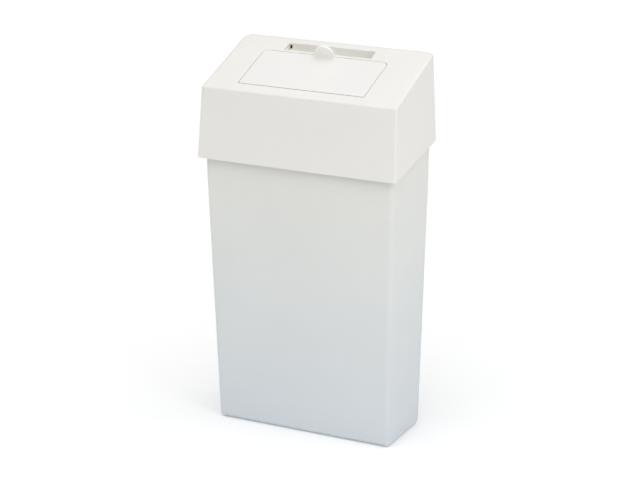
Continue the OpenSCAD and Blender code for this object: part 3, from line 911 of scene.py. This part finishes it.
def plastic(name, color, vary=0.015, rough=(0.34, 0.44), grain=900.0, bump=0.05, foot=None):
    """Moulded plastic: faint tone variation, a spark-eroded grain and an uneven sheen.

    foot is painted shade near the floor: a tint that the tone is multiplied by there,
    fading out up to PAINTED_SHADE_TOP_Z.
    """
    mat, tree, shader = new_material(name)
    cloud = noise(tree, 7.0, 3.0, 0.55)
    dark = tuple(c * (1 - vary) for c in color)
    light = tuple(min(c * (1 + vary), 1) for c in color)
    tone = ramp(tree, cloud.outputs["Fac"], [(0.3, dark), (0.7, light)])
    out = tone.outputs["Color"]
    # Painted shade: the tone multiplied by a tint at the floor, fading out upwards
    if foot:
        coords = tree.nodes.new("ShaderNodeTexCoord")
        split = tree.nodes.new("ShaderNodeSeparateXYZ")
        tree.links.new(coords.outputs["Object"], split.inputs["Vector"])
        height = tree.nodes.new("ShaderNodeMapRange")
        height.inputs["From Min"].default_value = 0.0
        height.inputs["From Max"].default_value = PAINTED_SHADE_TOP_Z
        tree.links.new(split.outputs["Z"], height.inputs["Value"])
        shade = ramp(tree, height.outputs["Result"], [(0.0, foot), (1.0, (1, 1, 1))])
        mix = tree.nodes.new("ShaderNodeMix")
        mix.data_type = "RGBA"
        mix.blend_type = "MULTIPLY"
        mix.inputs["Factor"].default_value = 1.0
        tree.links.new(out, mix.inputs["A"])
        tree.links.new(shade.outputs["Color"], mix.inputs["B"])
        out = mix.outputs["Result"]
    tree.links.new(out, shader.inputs["Base Color"])
    sheen = noise(tree, 35.0, 2.0, 0.6)
    uneven = spread(tree, sheen.outputs["Fac"], *rough)
    tree.links.new(uneven.outputs["Result"], shader.inputs["Roughness"])
    fine = noise(tree, grain, 2.0, 0.6)
    relief = tree.nodes.new("ShaderNodeBump")
    relief.inputs["Strength"].default_value = bump
    relief.inputs["Distance"].default_value = 0.0002
    tree.links.new(fine.outputs["Fac"], relief.inputs["Height"])
    tree.links.new(relief.outputs["Normal"], shader.inputs["Normal"])
    shader.inputs["Specular IOR Level"].default_value = 0.45
    shader.inputs["IOR"].default_value = 1.49
    return mat


def steel(name, color, rough):
    """Drawn steel: fine lines along X and slightly uneven polish."""
    mat, tree, shader = new_material(name)
    lines = noise(tree, 300.0, 3.0, 0.6, (0.05, 1, 1))
    tone = ramp(tree, lines.outputs["Fac"], [(0.2, tuple(c * 0.85 for c in color)), (0.8, color)])
    tree.links.new(tone.outputs["Color"], shader.inputs["Base Color"])
    shader.inputs["Metallic"].default_value = 1.0
    uneven = spread(tree, lines.outputs["Fac"], *rough)
    tree.links.new(uneven.outputs["Result"], shader.inputs["Roughness"])
    relief = tree.nodes.new("ShaderNodeBump")
    relief.inputs["Strength"].default_value = 0.1
    relief.inputs["Distance"].default_value = 0.0001
    tree.links.new(lines.outputs["Fac"], relief.inputs["Height"])
    tree.links.new(relief.outputs["Normal"], shader.inputs["Normal"])
    return mat


def rubber(name):
    mat, tree, shader = new_material(name)
    specks = noise(tree, 1500.0, 2.0, 0.6)
    tone = ramp(tree, specks.outputs["Fac"],
                [(0.3, (0.03, 0.03, 0.031)), (0.7, (0.055, 0.055, 0.056))])
    tree.links.new(tone.outputs["Color"], shader.inputs["Base Color"])
    uneven = spread(tree, specks.outputs["Fac"], 0.6, 0.8)
    tree.links.new(uneven.outputs["Result"], shader.inputs["Roughness"])
    relief = tree.nodes.new("ShaderNodeBump")
    relief.inputs["Strength"].default_value = 0.2
    relief.inputs["Distance"].default_value = 0.0002
    tree.links.new(specks.outputs["Fac"], relief.inputs["Height"])
    tree.links.new(relief.outputs["Normal"], shader.inputs["Normal"])
    return mat


MATS = {
    # The tub's tone is painted darker and cooler towards the floor: painted shade
    "tub_plastic": plastic("tub_plastic", (0.79, 0.79, 0.74), rough=(0.27, 0.36),
                           foot=(0.847, 0.907, 1.015)),
    "hood_plastic": plastic("hood_plastic", (0.85, 0.83, 0.79), rough=(0.27, 0.36)),
    "flap_plastic": plastic("flap_plastic", (0.853, 0.835, 0.812), rough=(0.27, 0.36)),
    "tab_plastic": plastic("tab_plastic", (0.99, 0.97, 0.92)),
    "tray_plastic": plastic("tray_plastic", (0.86, 0.85, 0.79)),
    "ring_plastic": plastic("ring_plastic", (0.50, 0.53, 0.54)),
    "bush_nylon": plastic("bush_nylon", (0.70, 0.69, 0.62), rough=(0.4, 0.5)),
    "pad_rubber": rubber("pad_rubber"),
    "bright_steel": steel("bright_steel", (0.62, 0.63, 0.65), (0.22, 0.34)),
    "spring_steel": steel("spring_steel", (0.33, 0.34, 0.36), (0.3, 0.45)),
}


def paint(obj, slot_name):
    obj.data.materials.clear()
    obj.data.materials.append(MATS[slot_name])


# ---------------------------------------------------------------------------
# Pieces on their bodies
# ---------------------------------------------------------------------------
def piece(obj, body, slot_name, *nodes):
    paint(obj, slot_name)
    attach(obj, body)
    if nodes:
        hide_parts(*nodes)
    return obj


piece(build_tub(), "tub", "tub_plastic", "tub_shell")
piece(build_tub_barrels(), "tub", "tub_plastic")
piece(build_liner_lugs(), "tub", "tub_plastic")
piece(build_hood(), "hood", "hood_plastic", "hood_shell")
piece(build_hood_fittings(), "hood", "hood_plastic")
piece(build_hood_knuckles(), "hood", "hood_plastic")
flap_plate = piece(build_flap(), "flap", "hood_plastic", "flap_panel")
paint(flap_plate, "flap_plastic")
piece(build_flap_ribs(), "flap", "hood_plastic")
tab_pull = piece(build_tab(), "flap", "hood_plastic", "finger_tab")
paint(tab_pull, "tab_plastic")

# The other CAD nodes keep their shape: softened edges, smooth round faces and their own finish
SOFTEN = {"recess_cup": 0.5, "hopper_tray": 0.6, "liner_ring": 0.6, "open_stop_buffer_left": 0.5,
          "open_stop_buffer_right": 0.5}
SLOT_OF = {row["node"]: row["material_slot"] for row in frame["record"]["subparts"]}
REPLACED = {"tub_shell", "hood_shell", "flap_panel", "finger_tab"}
WELD_GAP = 0.000005
CRISP_ANGLE = 40
for node_name, node in frame["nodes"].items():
    if node_name in REPLACED:
        continue
    if "custom_normal" in node.data.attributes:
        node.data.attributes.remove(node.data.attributes["custom_normal"])
    weld = node.modifiers.new("weld", "WELD")
    weld.merge_threshold = WELD_GAP
    add_bevel(node, SOFTEN.get(node_name, 0.15) * MM, 2)
    split = node.modifiers.new("crisp edges", "EDGE_SPLIT")
    split.split_angle = rad(CRISP_ANGLE)
    for face in node.data.polygons:
        face.use_smooth = True
    paint(node, SLOT_OF[node_name])


# ---------------------------------------------------------------------------
# Floor, light and camera
# ---------------------------------------------------------------------------
FLOOR_RADII = (1.5, 6.0, 20.0, 60.0)


def build_floor():
    """A pale studio floor, wide enough to reach past the top of the picture."""
    bm = bmesh.new()
    n = 96
    rings = []
    for r in FLOOR_RADII:
        rings.append(add_ring(bm, [(r * math.cos(2 * math.pi * k / n),
                                    r * math.sin(2 * math.pi * k / n), 0) for k in range(n)]))
    bm.faces.new(rings[0])
    for a, b in zip(rings, rings[1:]):
        bridge(bm, a, b)
    obj = new_object("studio_floor", bm)
    mat, tree, shader = new_material("studio_floor")
    cloud = noise(tree, 2.0, 2.0, 0.5)
    tone = ramp(tree, cloud.outputs["Fac"],
                [(0.3, (0.90, 0.90, 0.90)), (0.7, (0.93, 0.93, 0.93))])
    tree.links.new(tone.outputs["Color"], shader.inputs["Base Color"])
    shader.inputs["Roughness"].default_value = 0.9
    shader.inputs["Specular IOR Level"].default_value = 0.1
    shader.inputs["Emission Color"].default_value = (1, 1, 1, 1)
    shader.inputs["Emission Strength"].default_value = P_GLOW
    obj.data.materials.append(mat)
    return obj


def area_light(name, place, target, size, power, color=(1, 1, 1)):
    data = bpy.data.lights.new(name, "AREA")
    data.shape = "RECTANGLE"
    data.size, data.size_y = size
    data.energy = power
    data.color = color
    obj = bpy.data.objects.new(name, data)
    bpy.context.scene.collection.objects.link(obj)
    obj.location = place
    obj.rotation_euler = (Vector(target) - Vector(place)).to_track_quat("-Z", "Y").to_euler()
    return obj


def sun(name, direction, strength, angle):
    """A soft light, the same over the whole floor; direction is where it comes from."""
    data = bpy.data.lights.new(name, "SUN")
    data.energy = strength
    data.angle = rad(angle)
    obj = bpy.data.objects.new(name, data)
    bpy.context.scene.collection.objects.link(obj)
    obj.location = direction
    obj.rotation_euler = (-Vector(direction)).to_track_quat("-Z", "Y").to_euler()
    return obj


# Strengths: the lights, the world and the floor's own glow
P_SUN = 3.1
SUN_ANGLE = 110
P_FRONT = 0.3
P_RIGHT = 2.1
P_LEFT = 0.2
P_WORLD = 0.02
P_GLOW = 0.12
COOL = (0.93, 0.98, 1.08)

sun("overhead", (0.15, -0.35, 2.0), P_SUN, SUN_ANGLE)
area_light("softbox_front", (0.1, -1.7, 1.9), (0, 0, 0.55), (1.4, 0.9), P_FRONT)
area_light("softbox_right", (1.12, -0.62, 0.8), (0.17, -0.05, 0.45), (0.35, 1.0),
           P_RIGHT, COOL)
area_light("softbox_left", (-1.9, -1.2, 1.0), (-0.1, 0, 0.5), (0.9, 1.2), P_LEFT)

world = bpy.data.worlds.new("studio")
bpy.context.scene.world = world
world.use_nodes = True
world.node_tree.nodes["Background"].inputs["Color"].default_value = (1, 1, 1, 1)
# The backdrop past the floor's edge looks white, and lights the bin only faintly
rays = world.node_tree.nodes.new("ShaderNodeLightPath")
backdrop = spread(world.node_tree, rays.outputs["Is Camera Ray"], P_WORLD, 1.0)
world.node_tree.links.new(backdrop.outputs["Result"],
                          world.node_tree.nodes["Background"].inputs["Strength"])

build_floor()

VIEW_TURN, VIEW_DOWN = 26.302, 17.628
VIEW_PLACE = Vector((1.6063, -3.2443, 1.5102))
FOCAL_PX, FRAME_PX, SENSOR = 2043.4, 640, 36.0
camera_data = bpy.data.cameras.new("camera")
camera = bpy.data.objects.new("camera", camera_data)
bpy.context.scene.collection.objects.link(camera)
camera_data.sensor_width = SENSOR
camera_data.lens = FOCAL_PX / FRAME_PX * SENSOR
camera_data.clip_end = 200
camera.location = VIEW_PLACE
camera.rotation_euler = (rad(90 - VIEW_DOWN), 0, rad(VIEW_TURN))
bpy.context.scene.camera = camera

bpy.context.scene.view_settings.view_transform = "Standard"
